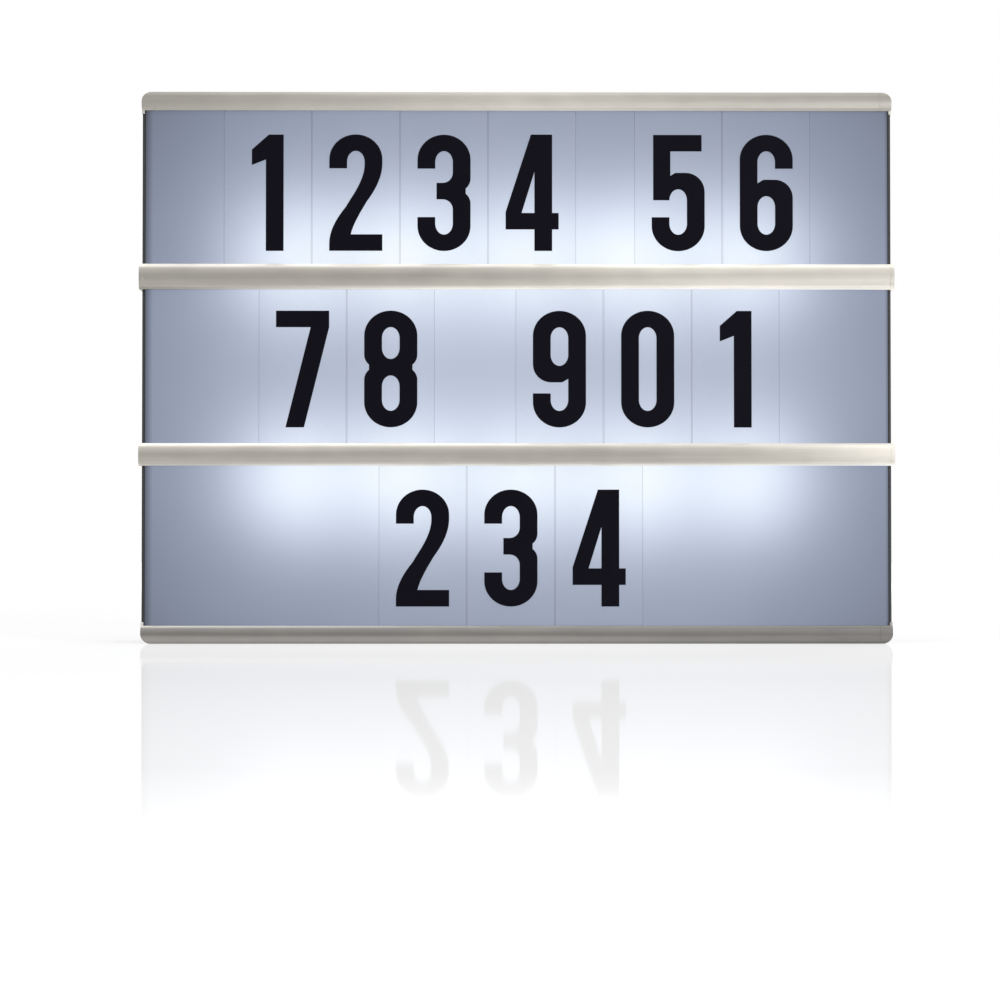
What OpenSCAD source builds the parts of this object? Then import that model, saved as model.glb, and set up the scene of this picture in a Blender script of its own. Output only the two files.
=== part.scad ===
// Light box with three rows of sliding letter cards.
// Millimetres, Z up, X to the right, the lit face looks along -Y.
// The origin is the middle of the base.

/* [Housing] */
// Width over the side walls
body_w = 299; // [270:1:340]
// Depth from the crowns of the rails to the back
body_d = 55; // [52:1:70]
// Thickness of the housing walls
wall_t = 2; // [1.8:0.1:2.4]
// Radius of the outer corners
corner_r = 4; // [3.4:0.2:5]
// Thickness of the thin lips around the panel and the back cover
lip_t = 1; // [0.8:0.1:1.2]
// Width of the ledge behind the edge of the panel
ledge_w = 3; // [2:0.2:4]
// Thickness of that ledge
ledge_t = 2; // [1.5:0.1:3]
// Thickness of the back cover
cover_t = 2; // [1.8:0.1:2.6]
// Outer radius of the screw bosses
boss_r = 3.5; // [3.2:0.1:4.5]
// Distance of the screws from the outer faces
boss_inset = 9; // [8:0.5:12]
// Thickness of the webs that tie the bosses to the walls
boss_web_t = 1.6; // [1.2:0.1:2.4]

/* [Rows] */
// Clear height of the first and the second row
row_h = 61.3; // [56:0.1:70]
// How much taller the bottom row is
bottom_row_extra = 2.3; // [1.2:0.1:3]
// Height of the top rail
top_rail_h = 7.4; // [7:0.1:10]
// Height of the upper middle rail
upper_rail_h = 10.2; // [9:0.1:13]
// Height of the lower middle rail
lower_rail_h = 9; // [8.6:0.1:13]
// Height of the bottom rail
bottom_rail_h = 7.2; // [6.8:0.1:10]

/* [Rails] */
// Thickness of the front flange at its crown
flange_t = 2.35; // [2:0.05:3]
// How far the crown stands out from the edges of the flange
crown_h = 0.8; // [0.4:0.1:1]
// Bevel along the edges of the flange
bevel = 0.6; // [0.3:0.1:0.8]
// Depth of the card grooves in the top and the middle rails
groove_h = 3.3; // [2.8:0.1:3.6]
// Depth of the card groove in the bottom rail
sill_h = 2.4; // [2:0.1:2.6]
// Thickness of the legs that hook over the housing
leg_t = 2.2; // [1.8:0.1:2.4]
// Length of those legs behind the front of the panel
leg_l = 11.6; // [8:0.2:14]

/* [End caps] */
// Length of the corner caps, which is where the grooves end
corner_cap_l = 5; // [4.2:0.2:8]
// Height of the hook that a corner cap sends along the side wall
hook_h = 1.4; // [1:0.1:2.4]
// How far a middle cap stands out from the side wall
cap_proud = 1; // [0.8:0.1:1.4]
// Thickness of the end plate of a middle cap
cap_plate_t = 1.6; // [1.5:0.1:2]
// Length of the ear of a middle cap along the side wall
ear_l = 10.8; // [8:0.2:14]
// Radius of the back corners of that ear
ear_r = 2.5; // [1:0.5:3.5]

/* [Letter cards] */
// Width of a card
card_w = 35; // [32:0.5:35]
// Distance from one card to the next within a word
card_pitch = 35.2; // [35:0.1:37]
// Thickness of a card
card_t = 0.3; // [0.2:0.05:0.4]
// Clearance on each side of a layer of cards
card_gap = 0.25; // [0.2:0.05:0.35]
// Clearance above and below a card in its grooves
card_play = 0.2; // [0.15:0.05:0.3]
// Radius of the corners of a card
card_r = 1; // [0.5:0.1:2]
// Left edge of the first word of the top row
top_word_a_x = -117; // [-140:0.5:-100]
// Left edge of the second word of the top row
top_word_b_x = 47; // [40:0.5:70]
// Left edge of the first word of the second row
mid_word_a_x = -103; // [-140:0.5:-80]
// Left edge of the second word of the second row
mid_word_b_x = -0.5; // [-5:0.5:30]
// Left edge of the word of the bottom row
low_word_x = -55.1; // [-140:0.1:30]

/* [Panel and reflector] */
// Thickness of the white light panel
panel_t = 2; // [1.5:0.1:3]
// Radius of the corners of the panel
panel_r = 1; // [0.5:0.1:3]
// Thickness of the reflector sheet
sheet_t = 1; // [0.8:0.1:1.4]
// Height of the folded rim of the reflector
rim_h = 8; // [4:0.5:11]
// Space for the wires between the reflector and the battery well
wire_space = 3.85; // [3.4:0.05:5]

/* [Light strips] */
// Distance from an end of a circuit board to the outside of the side wall
board_inset = 24.5; // [22:0.5:34]
// Height of a circuit board
board_h = 10; // [8:0.5:12]
// Thickness of a circuit board
board_t = 1; // [0.8:0.1:1.6]
// Lamps on each board
led_count = 5; // [3:1:7]
// Distance between lamps
led_pitch = 46; // [20:1:50]
// Width and height of a lamp
led_w = 5; // [3:0.5:6]
// Thickness of a lamp
led_t = 1.6; // [1:0.1:2]
// Radius of the round window of a lamp
led_window_r = 2; // [1:0.1:2.2]
// Depth of that window
led_window_d = 0.3; // [0.1:0.1:0.8]

/* [Batteries] */
// Diameter of a cell
cell_d = 14.5; // [13.5:0.1:15]
// Length of a cell with its button
cell_l = 50.5; // [48:0.5:52]
// Radius of the button
button_r = 2.75; // [2:0.05:3]
// Height of the button
button_h = 1.2; // [1:0.1:1.6]
// Chamfer around the ends of a cell
cell_rim = 0.6; // [0.2:0.1:1]
// Gap between one cell and the next
cell_gap = 0.8; // [0.75:0.05:2]
// Clearance around a cell in its cradle
cell_play = 0.35; // [0.25:0.05:0.6]
// Clearance between the cells and the door
door_play = 0.5; // [0.3:0.1:1]
// Height of the middle of the battery well above the base
well_z = 72; // [66:1:110]
// Wall thickness of the battery well
well_wall_t = 1.5; // [1.2:0.1:2]
// Length of a compressed spring
spring_l = 4.4; // [4:0.1:6]
// Radius of the spring wire
spring_wire_r = 0.35; // [0.25:0.05:0.35]
// Turns of a spring
spring_turns = 3; // [2:1:3]
// Radius of a spring where it sits on its plate
spring_base_r = 4.6; // [4.2:0.1:5]
// Radius of a spring where it meets the cell
spring_tip_r = 2.8; // [2.4:0.1:3]
// Thickness of a contact plate
plate_t = 0.5; // [0.3:0.1:0.6]
// Width of a contact plate
plate_w = 11; // [10.5:0.5:12]

/* [Battery door] */
// Thickness of the door
door_t = 1.8; // [1.5:0.1:2.2]
// Gap around the door
door_gap = 0.3; // [0.2:0.05:0.5]
// Gap under the door, which lets it swing out
swing_gap = 0.8; // [0.8:0.05:1.2]
// Width of the shelf around the well that the door lies over
shelf_w = 4; // [3:0.5:6]
// Radius of the hinge knuckles
knuckle_r = 1.5; // [1.4:0.05:1.6]
// Radius of the hinge pins
pin_r = 1; // [0.8:0.05:1.1]
// Running clearance of the pins in their sockets
pin_play = 0.05; // [0.03:0.01:0.08]
// How far a pin enters its socket
pin_l = 2.4; // [2:0.1:3]
// Width of a hinge ear
ear_w = 12; // [8:1:16]
// Distance of each hinge ear from the middle
ear_x = 40; // [28:1:46]
// Width of the snap tongue
tongue_w = 14; // [10:1:20]
// Length of the slots beside the tongue
tongue_l = 9; // [6:0.5:12]

/* [Switch and inlet] */
// Distance of the middle of the recess from the outside of the side wall
pocket_inset = 37.5; // [32:0.5:43]
// Height of the recess above the base
pocket_z = 36; // [28:1:37]
// Width of the recess
pocket_w = 44; // [42:1:46]
// Height of the recess
pocket_h = 20; // [18:1:22]
// Depth of the recess
pocket_d = 6; // [5:0.2:8]
// Travel of the switch knob
knob_travel = 4; // [2:0.5:4.5]
// Width of the knob along its travel
knob_w = 4; // [3:0.2:4.4]
// Height of the knob
knob_h = 3; // [2.4:0.1:3.6]
// How far the knob stands out of the recess floor
knob_out = 3.5; // [2:0.1:4]
// Radius of the plug socket
socket_r = 2.9; // [2.7:0.05:3.2]
// Depth of the plug socket
socket_d = 9.5; // [8:0.1:10]
// Radius of the pin in the socket
socket_pin_r = 1; // [0.8:0.05:1.3]

/* [Wall hanging] */
// Distance of each keyhole from the outside of the side wall
keyhole_inset = 49.5; // [30:0.5:65]
// Height of the round entries of the keyholes
keyhole_z = 182; // [150:1:190]
// Radius of the round entry
keyhole_r = 4.5; // [4:0.1:5.5]
// Half width of the slot above the entry
keyslot_r = 2.1; // [1.8:0.1:2.6]
// Height of the slot above the middle of the entry
keyslot_l = 9; // [7:0.5:12]

/* [Hidden] */
$fn = 48;
// The groups of cards in each row from the top down, each as its left edge and its number of cards
WORDS = [
    [[top_word_a_x, 4], [top_word_b_x, 2]],
    [[mid_word_a_x, 2], [mid_word_b_x, 3]],
    [[low_word_x, 3]]
];
// Left edge of every card, row by row
CARD_X = [for (row = WORDS) [for (word = row) for (k = [0:word[1] - 1]) word[0] + k * card_pitch]];
CARDS = [for (row = [0:2]) for (k = [1:len(CARD_X[row])]) str("card_", row + 1, "_", k)];
CELLS = [for (i = [1:6]) str("aa_cell_", i)];
RAILS = ["top_rail", "upper_rail", "lower_rail", "bottom_rail"];
CAPS = [for (rail = RAILS) for (side = ["left", "right"]) str(rail, "_cap_", side)];

// Length by which a cutting shape passes the face that it opens
cut = 1;
// Overlap that joins two shapes of one piece
lap = 0.5;
// Clearance between a piece and the seat that holds it
fit = 0.2;
// Clearance of a cap's tongues across the card grooves
tongue_play = 0.05;
// Least radius that an inner outline keeps at its corners
least_r = 0.5;

// Heights of the rails, from the base up
lower_rail_z = bottom_rail_h + row_h + bottom_row_extra;
lower_rail_top = lower_rail_z + lower_rail_h;
upper_rail_z = lower_rail_top + row_h;
upper_rail_top = upper_rail_z + upper_rail_h;
top_rail_z = upper_rail_top + row_h;
body_h = top_rail_z + top_rail_h;

// Depths, from the crowns of the rails to the back
front_y = -body_d / 2;
back_y = body_d / 2;
flange_y = front_y + flange_t;
panel_y = flange_y + 2 * card_t + 3 * card_gap;
panel_back = panel_y + panel_t;
rebate_y = panel_y + leg_l;
cover_y = back_y - cover_t;

// Widths
side_x = body_w / 2;
stop_x = side_x - corner_cap_l;
rail_end_x = side_x + cap_proud - cap_plate_t;

// Battery well, door opening and hinge
cradle_r = cell_d / 2 + cell_play;
cell_y = back_y - door_t - door_play - cell_d / 2;
cell_pitch = cell_d + cell_gap;
well_front = cell_y - cradle_r - well_wall_t;
spring_steps = 8;
spring_sides = 6;
dimple_h = 0.5;
end_play = 0.1;
bay_l = cell_l + spring_l + 2 * plate_t + dimple_h + end_play;
partition_t = 1.5;
tab_w = 3;
tab_out = 2.2;
well_w = 2 * bay_l + partition_t;
well_bottom = well_z - cell_pitch - cradle_r;
well_top = well_z + cell_pitch + cradle_r;
opening_x = well_w / 2 + shelf_w;
opening_bottom = well_bottom - shelf_w;
opening_top = well_top + shelf_w;
hinge_drop = 1.7;
hinge_y = back_y - knuckle_r;
hinge_z = opening_bottom - hinge_drop;
notch_play = 0.6;
notch_drop = knuckle_r + notch_play;
notch_y = hinge_y - knuckle_r - door_gap;
shelf_y = notch_y - well_wall_t;
tongue_slot = 1;
grip_t = 0.8;
grip_d = 0.5;
scoop_r = 9;
scoop_w = 18;
scoop_d = 2.5;
scoop_rise = 2;
scoop_z = opening_top + scoop_rise;
keyhole_x = side_x - keyhole_inset;
rib_t = 1.5;
rib_h = 4;
rib_dx = 20;
rib_x = keyhole_x - rib_dx;
rib_z = 150;

// Radii of the door and of the pockets moulded into the cover
door_r = 1;
pocket_r = 2;

// Reflector and light strips
tray_back = well_front - wire_space;
tray_front = tray_back - sheet_t;
board_y = tray_front - board_t;
upper_board_z = (upper_rail_z + upper_rail_top) / 2;
lower_board_z = (lower_rail_z + lower_rail_top) / 2;
board_l = body_w - 2 * board_inset;
lead_dx = 5;
lead_x = board_l / 2 + lead_dx;
wire_slot_w = 4;
pad_dz = 2.5;

// Screws
screw_r = 1.45;
screw_hole_r = 1.7;
pilot_r = 1.5;
screw_l = 9;
head_r = 2.8;
head_h = 1;
head_sink = 1.2;
drive_w = 3.4;
drive_t = 0.7;
drive_d = 0.6;
screw_places = [for (x = [-1, 0, 1]) for (top = [0, 1])
    [x * (side_x - boss_inset), top ? body_h - boss_inset : boss_inset, top]];

// Recess for the switch and the inlet
pocket_x = side_x - pocket_inset;
pocket_floor_t = 1.5;
pocket_y = back_y - pocket_d;
pocket_back = pocket_y - pocket_floor_t;
switch_dx = 9;
jack_dx = 11;
switch_x = pocket_x - switch_dx;
jack_x = pocket_x + jack_dx;
switch_d = 6;
switch_w = 14;
switch_h = 7;
switch_ear = 4;
switch_ear_t = 0.6;
switch_back = pocket_back - switch_d;
slider_lip = 0.7;
slider_w = knob_w + 2 * slider_lip;
slider_h = knob_h + 2 * slider_lip;
slider_t = 1.2;
slider_floor = 2;
slider_y = switch_back + slider_floor;
knob_play = 0.3;
knob_groove = 0.4;
lug_l = 2.5;
lug_w = 1.8;
lug_t = 0.5;
lug_dx = 3.5;
jack_r = 5.2;
jack_nose_r = 4;
jack_flange_r = 5.5;
jack_flange_t = 1.2;
jack_floor_t = 1.2;
jack_back = pocket_y + jack_flange_t - socket_d - jack_floor_t;
jack_lugs = [[-2.4, 0], [2.4, 0], [0, -3]];
nut_r = 6.5;
nut_t = 2;
pin_sink = 0.7;
pin_tip = 0.4;

// Wires
wire_r = 0.6;
wire_sides = 8;
wire_set_back = 0.7;
wire_y = tray_back + wire_space / 2 + wire_set_back;
wire_bend_r = 1.6;
// A direction that no stretch of a wire runs along
wire_up = [1, 2, 4];
link_dx = 7;
board_wire_y = tray_front - wire_r;

champagne = [0.79, 0.77, 0.73];
charcoal = [0.13, 0.13, 0.14];
steel = [0.75, 0.75, 0.76];

// A box over the given spans
module block(x, y, z) {
    translate([x[0], y[0], z[0]]) cube([x[1] - x[0], y[1] - y[0], z[1] - z[0]]);
}

// Extrudes a profile drawn in X and Z over a span of Y
module along_y(y) {
    translate([0, y[1], 0]) rotate([90, 0, 0]) linear_extrude(y[1] - y[0]) children();
}

// Extrudes a profile drawn in Y and Z over a span of X
module along_x(x) {
    translate([x[0], 0, 0]) rotate([90, 0, 90]) linear_extrude(x[1] - x[0]) children();
}

// Cylinders along each axis, over a span of it
module rod_x(x, y, z, r) {
    translate([x[0], y, z]) rotate([0, 90, 0]) cylinder(h = x[1] - x[0], r = r);
}

module rod_y(x, y, z, r) {
    translate([x, y[1], z]) rotate([90, 0, 0]) cylinder(h = y[1] - y[0], r = r);
}

// Rectangle with round corners, centred on X, standing on the axis
module rounded_rect(w, h, r) {
    translate([-w / 2 + r, 0]) square([w - 2 * r, h]);
    translate([-w / 2, r]) square([w, h - 2 * r]);
    for (x = [-w / 2 + r, w / 2 - r]) {
        for (y = [r, h - r]) {
            translate([x, y]) circle(r);
        }
    }
}

// Front outline of the housing, drawn in by an inset
module outline(inset) {
    translate([0, inset]) {
        rounded_rect(body_w - 2 * inset, body_h - 2 * inset, max(corner_r - inset, least_r));
    }
}

module mirror_x() {
    children();
    mirror([1, 0, 0]) children();
}

// ---- Housing ----

module housing_frame() {
    seat_z = leg_t + wall_t;
    window_z = seat_z + ledge_w;
    color(charcoal) {
        difference() {
            along_y([panel_y, back_y]) outline(0);
            // Rebates for the legs of the top and the bottom rail
            for (z = [[-cut, leg_t], [body_h - leg_t, body_h + cut]]) {
                block([-body_w, body_w], [panel_y - cut, rebate_y], z);
            }
            // Seat of the panel, and the window through the ledge behind it
            block([-side_x + lip_t, side_x - lip_t], [panel_y - cut, panel_back], [seat_z, body_h - seat_z]);
            block(
                [-side_x + lip_t + ledge_w, side_x - lip_t - ledge_w],
                [panel_y, panel_back + ledge_t + cut],
                [window_z, body_h - window_z]
            );
            // Inside of the walls, lower in front where the rails hook over
            block(
                [-side_x + wall_t, side_x - wall_t],
                [panel_back + ledge_t, rebate_y + wall_t],
                [seat_z, body_h - seat_z]
            );
            along_y([rebate_y + wall_t, back_y + cut]) outline(wall_t);
            // Seat of the back cover
            along_y([cover_y, back_y + cut]) outline(lip_t);
        }
        for (place = screw_places) {
            screw_boss(place[0], place[1], place[2]);
        }
    }
}

// Boss for a cover screw, tied to the nearest level wall by a web. The reflector rests on its front.
module screw_boss(x, z, top) {
    wall_z = top ? [z, body_h - wall_t / 2] : [wall_t / 2, z];
    difference() {
        union() {
            rod_y(x, [tray_back, cover_y], z, boss_r);
            block([x - boss_web_t / 2, x + boss_web_t / 2], [tray_back, cover_y], wall_z);
        }
        rod_y(x, [cover_y - screw_l - wall_t, cover_y + cut], z, pilot_r);
    }
}

module diffuser_panel() {
    edge = leg_t + wall_t + fit;
    color("white") {
        along_y([panel_y, panel_back]) {
            translate([0, edge]) rounded_rect(body_w - 2 * (lip_t + fit), body_h - 2 * edge, panel_r);
        }
    }
}

// ---- Rails and their end caps, as profiles in Y and Z ----

// Front flange, gently crowned and bevelled along both edges
module flange_profile(z, h) {
    crown_r = (pow(h / 2, 2) + pow(crown_h, 2)) / (2 * crown_h);
    edge = crown_h + bevel;
    intersection() {
        translate([front_y + crown_r, z + h / 2]) circle(crown_r);
        polygon([
            [flange_y, z], [front_y + edge, z], [front_y, z + edge],
            [front_y, z + h - edge], [front_y + edge, z + h], [flange_y, z + h]
        ]);
    }
}

module middle_profile(z, h) {
    flange_profile(z, h);
    translate([flange_y - lap, z + groove_h]) square([panel_y - flange_y + lap, h - 2 * groove_h]);
}

// Drawn for the base: the flange, the floor of its groove and the leg under the housing
module edge_profile(h, groove) {
    flange_profile(0, h);
    translate([flange_y - lap, 0]) square([rebate_y - fit - flange_y + lap, leg_t]);
    translate([flange_y - lap, leg_t - lap]) square([panel_y - flange_y + lap, h - groove - leg_t + lap]);
}

module middle_rail(z, h) {
    color(champagne) along_x([-rail_end_x, rail_end_x]) middle_profile(z, h);
}

module edge_rail(h, groove) {
    color(champagne) along_x([-stop_x, stop_x]) edge_profile(h, groove);
}

module at_top() {
    translate([0, 0, body_h]) mirror([0, 0, 1]) children();
}

// End cap of a middle rail: a plate over the rail's end, tongues that close its two grooves and an ear
// along the side wall
module middle_cap(z, h) {
    color(champagne) {
        along_x([rail_end_x, side_x + cap_proud]) {
            flange_profile(z, h);
            translate([flange_y - lap, z]) square([panel_y - flange_y + lap, h]);
        }
        along_x([side_x, side_x + cap_proud]) ear_profile(z, h);
        for (groove_z = [z, z + h - groove_h]) {
            block(
                [stop_x, rail_end_x + lap], [flange_y + tongue_play, panel_y - tongue_play],
                [groove_z + card_gap, groove_z + groove_h - card_gap]
            );
        }
    }
}

module ear_profile(z, h) {
    end_y = panel_y + ear_l;
    translate([flange_y, z]) square([end_y - ear_r - flange_y, h]);
    translate([flange_y, z + ear_r]) square([end_y - flange_y, h - 2 * ear_r]);
    for (corner = [z + ear_r, z + h - ear_r]) {
        translate([end_y - ear_r, corner]) circle(ear_r);
    }
}

// Corner cap, drawn for the base on the right: it fills the groove and hooks up the side wall
module corner_cap(h, groove) {
    color(champagne) {
        intersection() {
            along_y([front_y - cut, rebate_y - fit]) outline(0);
            union() {
                along_x([stop_x, side_x + cut]) {
                    edge_profile(h, groove);
                    translate([flange_y - lap, 0]) square([panel_y - flange_y + lap, h]);
                }
                block(
                    [side_x - lip_t, side_x + cut], [front_y + crown_h + bevel, panel_y],
                    [h - lap, h + hook_h]
                );
            }
        }
    }
}

module rail(name) {
    if (name == "top_rail") at_top() edge_rail(top_rail_h, groove_h);
    if (name == "upper_rail") middle_rail(upper_rail_z, upper_rail_h);
    if (name == "lower_rail") middle_rail(lower_rail_z, lower_rail_h);
    if (name == "bottom_rail") edge_rail(bottom_rail_h, sill_h);
}

module right_cap(name) {
    if (name == "top_rail") at_top() corner_cap(top_rail_h, groove_h);
    if (name == "upper_rail") middle_cap(upper_rail_z, upper_rail_h);
    if (name == "lower_rail") middle_cap(lower_rail_z, lower_rail_h);
    if (name == "bottom_rail") corner_cap(bottom_rail_h, sill_h);
}

// ---- Letter cards ----

// Neighbours lie in two layers, so that each can slide past the next
module card(row, k) {
    base_z = [upper_rail_top - groove_h, lower_rail_top - groove_h, bottom_rail_h - sill_h][row] + card_play;
    layer_y = panel_y - card_gap - (k % 2) * (card_t + card_gap);
    color([0.95, 0.95, 0.97, 0.4]) {
        along_y([layer_y - card_t, layer_y]) {
            translate([CARD_X[row][k] + card_w / 2, base_z]) {
                rounded_rect(card_w, row_h + 2 * (groove_h - card_play), card_r);
            }
        }
    }
}

// ---- Reflector and light strips ----

module reflector_tray() {
    edge = wall_t + fit;
    color("white") {
        difference() {
            along_y([tray_back - rim_h, tray_back]) outline(edge);
            along_y([tray_back - rim_h - cut, tray_front]) outline(edge + sheet_t);
            // Slots for the wires at the ends of the boards
            for (x = [-lead_x, lead_x]) {
                for (z = [lower_board_z, upper_board_z]) {
                    block(
                        [x - wire_slot_w / 2, x + wire_slot_w / 2], [tray_front - cut, tray_back + cut],
                        [z - board_h / 2, z + board_h / 2]
                    );
                }
            }
        }
    }
}

module led_board(z) {
    color("white") {
        block([-board_l / 2, board_l / 2], [board_y, tray_front], [z - board_h / 2, z + board_h / 2]);
    }
}

// Square lamps in a row, each with a shallow round window
module leds(z) {
    color([1, 0.98, 0.85]) {
        for (k = [0:led_count - 1]) {
            x = (k - (led_count - 1) / 2) * led_pitch;
            lamp_y = board_y - led_t;
            difference() {
                block([x - led_w / 2, x + led_w / 2], [lamp_y, board_y], [z - led_w / 2, z + led_w / 2]);
                rod_y(x, [lamp_y - cut, lamp_y + led_window_d], z, led_window_r);
            }
        }
    }
}

// ---- Battery well, one bay on each side of a partition ----

function row_z(row) = well_z + (row - 1) * cell_pitch;

// Stands a piece in the place of a cell: X runs from the wall behind its spring towards its button
module at_cell(i) {
    side = i < 3 ? -1 : 1;
    row = i % 3;
    way = row == 1 ? -1 : 1;
    translate([side * (partition_t + bay_l) / 2 - way * bay_l / 2, cell_y, row_z(row)]) {
        rotate([0, 0, way == 1 ? 0 : 180]) children();
    }
}

// Round slab around a span of Z, for the walls of the pockets moulded into the cover
module pocket_block(x, w, y, z, r) {
    along_y(y) translate([x, z[0]]) rounded_rect(w, z[1] - z[0], r);
}

module back_cover() {
    wall = well_wall_t;
    color(charcoal) {
        difference() {
            union() {
                along_y([cover_y, back_y]) outline(lip_t + fit);
                pocket_block(
                    0, well_w + 2 * wall, [well_front, cover_y + lap],
                    [well_bottom - wall, well_top + wall], pocket_r
                );
                pocket_block(
                    0, 2 * (opening_x + wall), [shelf_y, cover_y + lap],
                    [hinge_z - notch_drop - wall, opening_top + wall], pocket_r
                );
                pocket_block(
                    0, scoop_w + 2 * wall, [shelf_y, cover_y + lap], [well_z, scoop_z + scoop_r], pocket_r
                );
                pocket_block(
                    pocket_x, pocket_w + 2 * wall, [pocket_back, cover_y + lap],
                    [pocket_z - pocket_h / 2 - wall, pocket_z + pocket_h / 2 + wall], pocket_r + wall
                );
                cover_ribs();
            }
            well_cavities();
            door_opening();
            inlet_recess();
            for (place = screw_places) {
                rod_y(place[0], [cover_y - cut, back_y], place[1], screw_hole_r);
                rod_y(place[0], [back_y - head_sink, back_y + cut], place[1], head_r + door_gap);
            }
            mirror_x() keyhole();
        }
    }
}

module cover_ribs() {
    rib_y = [cover_y - rib_h, cover_y + lap];
    mirror_x() block([rib_x, rib_x + rib_t], rib_y, [rib_z, body_h - boss_inset - boss_r]);
    block([-keyhole_x, keyhole_x], rib_y, [rib_z - rib_t, rib_z]);
}

// Round cradles for the cells, opened to the door, with upright slots for the contact plates
module well_cavities() {
    plate_z = [row_z(0) - plate_w / 2 - fit, row_z(2) + plate_w / 2 + fit];
    plate_y = [cell_y - plate_w / 2 - fit, back_y];
    mirror_x() {
        bay = [partition_t / 2, well_w / 2];
        block(bay, [cell_y, back_y], [well_bottom, well_top]);
        for (row = [0:2]) {
            rod_x(bay, cell_y, row_z(row), cradle_r);
        }
        inner_slot = [bay[0], bay[0] + plate_t + fit];
        outer_slot = [bay[1] - plate_t - fit, bay[1]];
        block(inner_slot, plate_y, plate_z);
        block(outer_slot, plate_y, plate_z);
        // Slot for the solder tab
        block(
            outer_slot, [well_front - cut, cell_y],
            [row_z(0) - tab_w / 2 - fit, row_z(0) + tab_w / 2 + fit]
        );
    }
    block([-partition_t, partition_t], [cell_y + plate_w / 2 - plate_t, back_y], [well_bottom, well_top]);
}

module door_opening() {
    pocket_block(0, 2 * opening_x, [cover_y, back_y + cut], [opening_bottom, opening_top], door_r);
    mirror_x() {
        notch = [ear_x - ear_w / 2 - door_gap, ear_x + ear_w / 2 + door_gap];
        block(notch, [notch_y, back_y + cut], [hinge_z - notch_drop, opening_bottom + wall_t]);
        rod_x([notch[0] - pin_l, notch[1] + pin_l], hinge_y, hinge_z, pin_r + pin_play);
    }
    rod_x([-scoop_w / 2, scoop_w / 2], back_y + scoop_r - scoop_d, scoop_z, scoop_r);
}

// Recess that holds the switch and the inlet below the back face
module inlet_recess() {
    pocket_block(
        pocket_x, pocket_w, [pocket_y, back_y + cut],
        [pocket_z - pocket_h / 2, pocket_z + pocket_h / 2], pocket_r
    );
    knob_slot([pocket_back - cut, pocket_y + cut]);
    rod_y(jack_x, [pocket_back - cut, pocket_y + cut], pocket_z, jack_nose_r + fit);
}

// Round entry with a narrow slot above it
module keyhole() {
    through = [cover_y - rib_h, back_y + cut];
    rod_y(keyhole_x, through, keyhole_z, keyhole_r);
    rod_y(keyhole_x, through, keyhole_z + keyslot_l, keyslot_r);
    block([keyhole_x - keyslot_r, keyhole_x + keyslot_r], through, [keyhole_z, keyhole_z + keyslot_l]);
}

// The door with its snap tongue, its two hinge ears and their pins
module battery_door() {
    plate_z = [opening_bottom + swing_gap, opening_top - door_gap];
    color(charcoal) {
        difference() {
            pocket_block(0, 2 * (opening_x - door_gap), [back_y - door_t, back_y], plate_z, door_r);
            mirror_x() {
                block(
                    [tongue_w / 2, tongue_w / 2 + tongue_slot], [back_y - door_t - cut, back_y + cut],
                    [plate_z[1] - tongue_l, plate_z[1] + cut]
                );
            }
            // Grip grooves across the tongue
            for (k = [1:3]) {
                groove_z = plate_z[1] - 2 * k * grip_t;
                block(
                    [-tongue_w / 2 + wall_t, tongue_w / 2 - wall_t], [back_y - grip_d, back_y + cut],
                    [groove_z - grip_t, groove_z]
                );
            }
        }
        mirror_x() {
            ear = [ear_x - ear_w / 2, ear_x + ear_w / 2];
            rod_x(ear, hinge_y, hinge_z, knuckle_r);
            block(ear, [back_y - door_t, back_y], [hinge_z, plate_z[0] + lap]);
            rod_x([ear[0] - pin_l, ear[1] + pin_l], hinge_y, hinge_z, pin_r);
        }
    }
}

// A cell with chamfered rims and its button
module aa_cell() {
    r = cell_d / 2;
    can = cell_l - button_h;
    color(steel) {
        translate([plate_t + spring_l, 0, 0]) rotate([0, 90, 0]) rotate_extrude() {
            polygon([
                [0, 0], [r - cell_rim, 0], [r, cell_rim], [r, can - cell_rim], [r - cell_rim, can],
                [button_r, can], [button_r, can + button_h], [0, can + button_h]
            ]);
        }
    }
}

// ---- Tubes swept along points, for the springs and the wires ----

function unit(v) = v / norm(v);
function heading(path, i) = unit(path[min(i + 1, len(path) - 1)] - path[max(i - 1, 0)]);

module sweep(path, r, sides, up) {
    last = len(path) - 1;
    points = [for (i = [0:last])
        let (t = heading(path, i), u = unit(cross(up, t)), v = cross(t, u))
        for (j = [0:sides - 1]) path[i] + r * (cos(360 * j / sides) * u + sin(360 * j / sides) * v)];
    walls = [for (i = [0:last - 1])
        for (j = [0:sides - 1])
        let (a = i * sides + j, b = i * sides + (j + 1) % sides)
        each [[a, a + sides, b + sides], [a, b + sides, b]]];
    ends = [[for (j = [0:sides - 1]) j], [for (j = [0:sides - 1]) last * sides + sides - 1 - j]];
    polyhedron(points, concat(walls, ends));
}

// Centre line of a spring, from its plate to its cell
spring_path = [for (k = [0:spring_steps * spring_turns])
    let (t = k / (spring_steps * spring_turns), r = spring_base_r + (spring_tip_r - spring_base_r) * t)
    [
        plate_t + spring_wire_r + t * (spring_l - 2 * spring_wire_r),
        r * cos(360 * spring_turns * t),
        r * sin(360 * spring_turns * t)
    ]];
spring_gap = min([for (i = [0:len(spring_path) - spring_steps])
    for (j = [i + spring_steps - 1:len(spring_path) - 1])
    norm(spring_path[i] - spring_path[j])]) - 2 * spring_wire_r;
echo(str("Least gap of a spring to itself: ", spring_gap, " mm"));

module battery_springs() {
    color(steel) {
        for (i = [0:5]) {
            at_cell(i) sweep(spring_path, spring_wire_r, spring_sides, [1, 0, 0]);
        }
    }
}

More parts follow.
